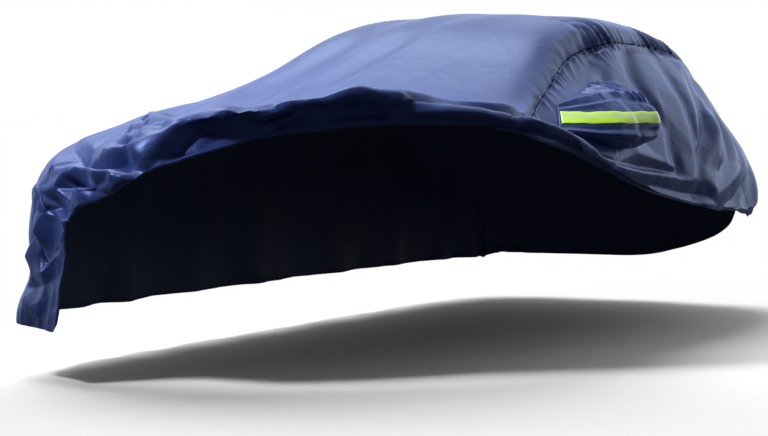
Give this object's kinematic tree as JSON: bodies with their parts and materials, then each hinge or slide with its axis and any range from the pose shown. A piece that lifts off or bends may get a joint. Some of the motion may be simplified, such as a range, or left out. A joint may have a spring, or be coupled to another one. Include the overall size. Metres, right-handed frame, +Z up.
{
  "type": "fitted cover",
  "caption": "Fitted weather cover for a five-door hatchback, drawn up over the bonnet and along the left side, with mirror pouches and reflective strips.",
  "frame": {"origin": "on the cover's centre plane, just under the middle of its top, where the vehicle under it carries it", "axes": "+X towards the cover's left side, +Y from its nose to its tail, +Z up"},
  "size_m": [2.1226, 4.3257, 1.2607],
  "materials": {
    "coated_polyester": "satin blue woven polyester taffeta with a coated, darker inside",
    "reflective_tape": "glossy yellow-green tape with a silvery band along its middle"
  },
  "bodies": {
    "root": {"top_panel": "coated_polyester", "right_side_panel": "coated_polyester", "left_side_panel": "coated_polyester", "left_mirror_pouch": "coated_polyester", "right_mirror_pouch": "coated_polyester", "left_reflective_strip": "reflective_tape", "right_reflective_strip": "reflective_tape"}
  },
  "joints": []
}
